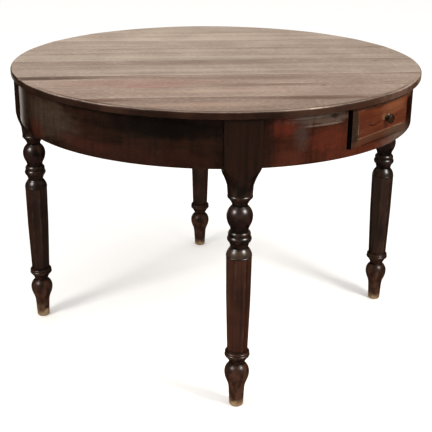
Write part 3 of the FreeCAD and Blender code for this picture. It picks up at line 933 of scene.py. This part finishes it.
drawerWood = {
    "ringWidth": 0.012, "wander": 0.9, "coat": 0.15, "coatRoughness": 0.2, "shine": 0.10,
    "roughness": 0.36, "dull": 0.18, "bump": 0.0001,
    "figureShare": 0.65, "blotchShare": 0.35, "streakShare": 0.35, "scratchShare": 0.25, "relief": 0.5,
    "ease": 0.0010,
    "deep": "3a180a", "warm": "643018", "pore": "160a05", "rub": "75604d", "rubShare": (0.10, 0.6),
    # near black for the crescent scratch, and painted shade on the ends of the front, which stand out of the
    # apron
    "scratchAndEndShade": "060302", "endShadeFade": (0.1213, 0.1221),
    # the raised field: height of its lower edge, and how far the bare line there, which is also a painted
    # highlight, reaches up and aside
    "fieldLow": 0.664, "fieldEdge": (0.0010, 0.0022), "fieldEnd": (0.099, 0.102),
    # a patch lies at (depth, place across, height)
    "patches": (
        # painted reflection: a grey strip down the near end's border, where it catches the light
        ((0, -0.112, 0.690), (9, 0.012, 0.060), "241f17", 0.90),
        ((0, 0.000, 0.653), (9, 0.150, 0.009), "452a1b", 0.80),
        # painted highlight: glancing light on the lower border near the far end
        ((0, 0.085, 0.653), (9, 0.060, 0.013), "4c3d31", 0.50),
        ((0, 0.055, 0.716), (9, 0.055, 0.018), "7c4a2e", 0.50, {"soft": 0.6}),
        ((0, 0.011, 0.697), (9, 0.010, 0.008), "7b5b40", 0.50),
        ((0, -0.070, 0.700), (9, 0.030, 0.030), "441c10", 0.45),
        # painted highlight: the knob's pale upper edge, laid on the front behind it
        ((0, 0.029, 0.693), (9, 0.012, 0.008), "a89884", 0.60, {"ragged": 0.9}),
        ((0, 0.020, 0.735), (9, 0.110, 0.006), "2a1c12", 0.60),
    ),
    # a crescent scratch left of the knob: middle of its circle, radius, width, reach aside and depth of tone
    "crescent": {"across": -0.030, "height": 0.745, "radius": 0.060, "width": 0.0022, "reach": 0.032,
                 "share": 0.7},
}


def makeDrawerFrontMaterial():
    values = drawerWood
    wood = startWood("drawerWood", grainAlong("X"), 7.7, values)
    colour = figured(wood, values["deep"], values["warm"])
    wood.colour = paintPatches(colour, wood.vector, values["patches"])
    lay(wood, (1.0 - wood.fibre) * values["streakShare"], "pore")
    x, z = split(wood.place)[::2]
    arc = values["crescent"]
    aside = x - arc["across"]
    off = abs(lengthOf(join(aside, z - arc["height"])) - arc["radius"])
    line = fadeOut(off, arc["width"] * 0.4, arc["width"])
    line = line * fadeOut(abs(aside), arc["reach"] * 0.55, arc["reach"], arc["share"])
    lay(wood, line, "scratchAndEndShade")
    # the arris along the bottom of the field is rubbed to bare wood, and lightened as a painted highlight of
    # the lit arris
    bare = fadeOut(abs(z - values["fieldLow"]), *values["fieldEdge"])
    bare = bare * fadeOut(abs(x), *values["fieldEnd"], 0.65) * fade(wood.rubbed, 0.0, 0.8, 0.45, 1.0)
    lay(wood, bare, "rub")
    rubEdges(wood)
    lay(wood, wood.scratch * values["scratchShare"], "rub")
    # painted shade: the ends of the front are darkened almost to black
    lay(wood, fade(abs(x), *values["endShadeFade"]), "scratchAndEndShade")
    return finishWood(wood, relief(wood) - line)


innerWood = {
    "ringWidth": 0.009, "wander": 0.6,
    "roughness": 0.62, "dull": 0.18, "bump": 0.00015,
    "dirtShare": 0.45, "poreShare": 0.4, "wornShare": 0.5, "relief": 0.7,
    "ease": 0.0005, "framingEase": 0.0008,
    "deep": "6a4d33", "warm": "92754f", "dirt": "3c2a1c", "rub": "a58d6c",
    # the black colour and its fade here are painted shade in the gap beside the drawer's front
    "gapShade": "070403", "gapShadeFade": (-0.504, -0.496),
}


def makeInnerMaterial(name, axis, seed):
    values = innerWood
    wood = startWood(name, grainAlong(axis), seed, values)
    wood.colour = blend(wood.figure, values["deep"], values["warm"])
    lay(wood, wood.blotch * values["dirtShare"], "dirt")
    lay(wood, wood.pores * values["poreShare"], "dirt")
    lay(wood, attributeOf(wood, "worn") * values["wornShare"], "rub")
    # painted shade: black where the drawer's dovetails show beside its front, in the shade of the gap there
    lay(wood, fadeOut(split(wood.place)[1], *values["gapShadeFade"]), "gapShade")
    return finishWood(wood, relief(wood))


def makeInnerPiece(name, label, material, body, ease):
    easedCopy(name, label, material, body, innerWood[ease], 1)


innerAlongX = makeInnerMaterial("innerWoodAcross", "X", 3.0)
innerAlongY = makeInnerMaterial("innerWoodAlong", "Y", 9.0)
frontMaterial = makeDrawerFrontMaterial()
easedCopy("drawer_front", "drawerFront", frontMaterial, "drawer", drawerWood["ease"], 2)
makeInnerPiece("drawer_side_left", "drawerSideLeft", innerAlongY, "drawer", "ease")
makeInnerPiece("drawer_side_right", "drawerSideRight", innerAlongY, "drawer", "ease")
makeInnerPiece("drawer_back", "drawerBack", innerAlongX, "drawer", "ease")
makeInnerPiece("drawer_bottom", "drawerBottom", innerAlongX, "drawer", "ease")
print("drawer: front and box")


# The framing under the top

for part in ("bearer_left", "bearer_right", "drawer_runner_left", "drawer_runner_right",
             "drawer_kicker_left", "drawer_kicker_right", "drawer_stops"):
    makeInnerPiece(part, part.title().replace("_", ""), innerAlongY, "table", "framingEase")
makeInnerPiece("glue_blocks", "GlueBlocks", innerAlongX, "table", "framingEase")
print("framing: bearers, runners, kickers, stops and blocks")


# The knob

knobValues = {
    "radius": 0.012, "length": 0.018, "spigot": 0.002, "steps": 48, "arcSteps": 5,
    "rim": 0.68,
    "shares": ((0.10, 0.68, 0.0), (0.36, 0.42, -0.07), (0.54, 0.90, 0.07),
               (0.68, 1.00, 0.04), (0.92, 0.72, 0.09), (1.00, 0.10, 0.0)),
}

knobWood = {
    "ringWidth": 0.004, "wander": 0.5, "coat": 0.3, "coatRoughness": 0.25, "shine": 0.05,
    "roughness": 0.22, "dull": 0.12, "bump": 0.00005,
    "deep": "100805", "warm": "24140b", "rub": "3f2a1b", "wornShare": 0.6,
}


def makeKnobMaterial():
    values = knobWood
    wood = startWood("knobWood", grainAlong("Y"), 21.0, values)
    wood.colour = blend(wood.figure, values["deep"], values["warm"])
    lay(wood, attributeOf(wood, "worn") * values["wornShare"], "rub")
    return finishWood(wood, wood.fibre)


def makeKnob():
    values = knobValues
    lowest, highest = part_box("drawer_knob")
    seat = Vector(((lowest[0] + highest[0]) / 2, lowest[1] + values["length"], (lowest[2] + highest[2]) / 2))
    start = (0.0, values["rim"] * values["radius"])
    outline = [(values["spigot"], start[1]), start]
    outline += outlineFromShares(values["shares"], start, 0.0, values["length"], values)
    bm = spinOutline(outline, values["steps"])
    markTurnedWear(bm, 1.0)
    moveAll(bm, Matrix.Translation(seat) @ Matrix.Rotation(math.radians(-90), 4, "X"))
    finishPiece(bm, "drawerKnob", makeKnobMaterial(), "drawer", ["drawer_knob"])


makeKnob()
print("knob")


# The screws under the top

screwValues = {
    "headRadius": 0.0045, "headHeight": 0.003, "slopeEnd": 0.0012, "slopeBulge": 0.0008,
    "radius": 0.0022, "pointRadius": 0.0006, "pointLength": 0.006, "steps": 24, "arcSteps": 5,
    "steel": "8a8580", "rust": "4a2e1c", "roughness": (0.38, 0.75),
}


def makeScrewMaterial():
    material, shader = newMaterial("screwSteel")
    place = addNode(material.node_tree, "ShaderNodeTexCoord", output="Object")
    rust = fade(noiseAt(place, 900.0, 4.0, 0.6, 4.0), 0.42, 0.62)
    setInputs(shader, {"Metallic": 1.0, "Base Color": blend(rust, screwValues["steel"], screwValues["rust"]),
                       "Roughness": between(rust, *screwValues["roughness"])})
    return material


def screwPlaces():
    # the middle of each screw of the CAD node, found from its loose parts
    bm = cadCopy("top_screws")
    left = set(bm.verts)
    places = []
    while left:
        island, queue = set(), [next(iter(left))]
        while queue:
            vertex = queue.pop()
            if vertex not in island:
                island.add(vertex)
                queue += [edge.other_vert(vertex) for edge in vertex.link_edges]
        left -= island
        xs, ys, zs = ([v.co[k] for v in island] for k in range(3))
        x, y = (round((min(row) + max(row)) / 2, 5) for row in (xs, ys))
        places.append((x, y, min(zs), max(zs)))
    bm.free()
    return sorted(places)


def makeScrews():
    values = screwValues
    whole = bmesh.new()
    for turn, (x, y, low, high) in enumerate(screwPlaces()):
        head = (low + values["headHeight"], values["headRadius"])
        outline = [(high, values["pointRadius"]), (high - values["pointLength"], values["radius"]),
                   (head[0], values["radius"]), head]
        outline += arcPoints(head, (low, values["slopeEnd"]), values["slopeBulge"], values["arcSteps"])
        bm = spinOutline(outline, values["steps"])
        moveAll(bm, Matrix.Translation((x, y, 0)) @ turnMatrix(37 * turn))
        mesh = toMesh(bm, "oneScrew")
        whole.from_mesh(mesh)
        bpy.data.meshes.remove(mesh)
    finishPiece(whole, "topScrews", makeScrewMaterial(), "table", ["top_screws"])


makeScrews()
print("screws")


# The floor, the lights and the camera

studio = {
    "floorSize": 14.0, "floorColour": "f4f3f1", "floorRoughness": 0.9, "floorShine": 0.1,
    "worldColour": "ffffff", "worldStrength": 1.10,
    "photoTurn": -48.9,
    "aim": (0.0, 0.0, 0.45),
    "lampColour": "fffaf4",
    "lamps": {
        "keyLight": {"turn": 52.0, "height": 2.4, "out": 2.6, "size": 0.75, "power": 80.0},
        "fillLight": {"turn": -52.0, "height": 2.2, "out": 2.7, "size": 0.75, "power": 55.0},
    },
    "stripTurn": 211.7, "stripOut": 3.05, "stripHeight": 0.03, "stripSize": (0.9, 2.2), "stripPower": 20.0,
    "stripColour": "ece0d4",
}

cameraValues = {
    "out": 2.4659, "height": 1.2736, "aimHeight": 0.4, "focal": 76.152, "sensor": 36.0,
    "roll": 0.574, "shiftX": 0.00261, "shiftY": -0.07322,
}


def outward(turn, distance, height):
    angle = math.radians(turn)
    return Vector((distance * math.sin(angle), -distance * math.cos(angle), height))


def makeFloor():
    bm = bmesh.new()
    bmesh.ops.create_grid(bm, x_segments=1, y_segments=1, size=studio["floorSize"] / 2)
    mesh = toMesh(bm, "floor")
    material, shader = newMaterial("paleFloor")
    setInputs(shader, {"Base Color": linear(studio["floorColour"]), "Roughness": studio["floorRoughness"],
                       "Specular IOR Level": studio["floorShine"]})
    mesh.materials.append(material)
    floor = addObject("floor", mesh)
    floor.visible_glossy = False  # a dark room: the polish mirrors the lamps alone


def newLamp(name, shape, power, colour):
    lamp = bpy.data.lights.new(name, "AREA")
    lamp.shape = shape
    lamp.energy = power
    lamp.color = linear(colour)[:3]
    return lamp, addObject(name, lamp)


def makeLight(name, values):
    lamp, light = newLamp(name, "SQUARE", values["power"], studio["lampColour"])
    lamp.size = values["size"]
    light.location = outward(studio["photoTurn"] + values["turn"], values["out"], values["height"])
    light.rotation_euler = (Vector(studio["aim"]) - light.location).to_track_quat("-Z", "Y").to_euler()


def makeStrip():
    # a pale strip on the floor behind, which shows only as a glancing shine at the end of the left apron
    lamp, strip = newLamp("stripLight", "RECTANGLE", studio["stripPower"], studio["stripColour"])
    lamp.size, lamp.size_y = studio["stripSize"]
    turn = studio["photoTurn"] + studio["stripTurn"]
    place = Matrix.Translation(outward(turn, studio["stripOut"], studio["stripHeight"]))
    strip.matrix_world = place @ turnMatrix(turn) @ Matrix.Rotation(math.pi, 4, "X")
    strip.visible_camera = False
    strip.visible_diffuse = False


def makeWorld():
    world = bpy.data.worlds.new("studio")
    world.use_nodes = True
    setInputs(world.node_tree.nodes["Background"], {"Color": linear(studio["worldColour"]),
                                                    "Strength": studio["worldStrength"]})
    world.cycles_visibility.glossy = False
    bpy.context.scene.world = world


def makeCamera():
    values = cameraValues
    data = bpy.data.cameras.new("camera")
    data.sensor_width = values["sensor"]
    data.lens = values["focal"]
    data.shift_x = values["shiftX"]
    data.shift_y = values["shiftY"]
    camera = addObject("camera", data)
    place = outward(studio["photoTurn"], values["out"], values["height"])
    aim = Vector((0, 0, values["aimHeight"])) - place
    look = aim.to_track_quat("-Z", "Y").to_matrix().to_4x4()
    camera.matrix_world = Matrix.Translation(place) @ look @ turnMatrix(values["roll"])
    bpy.context.scene.camera = camera


makeFloor()
makeWorld()
for lampName, lampValues in studio["lamps"].items():
    makeLight(lampName, lampValues)
makeStrip()
makeCamera()
bpy.context.scene.view_settings.view_transform = "Standard"
bpy.context.scene.view_settings.look = "None"
print("studio: floor, lights and camera")
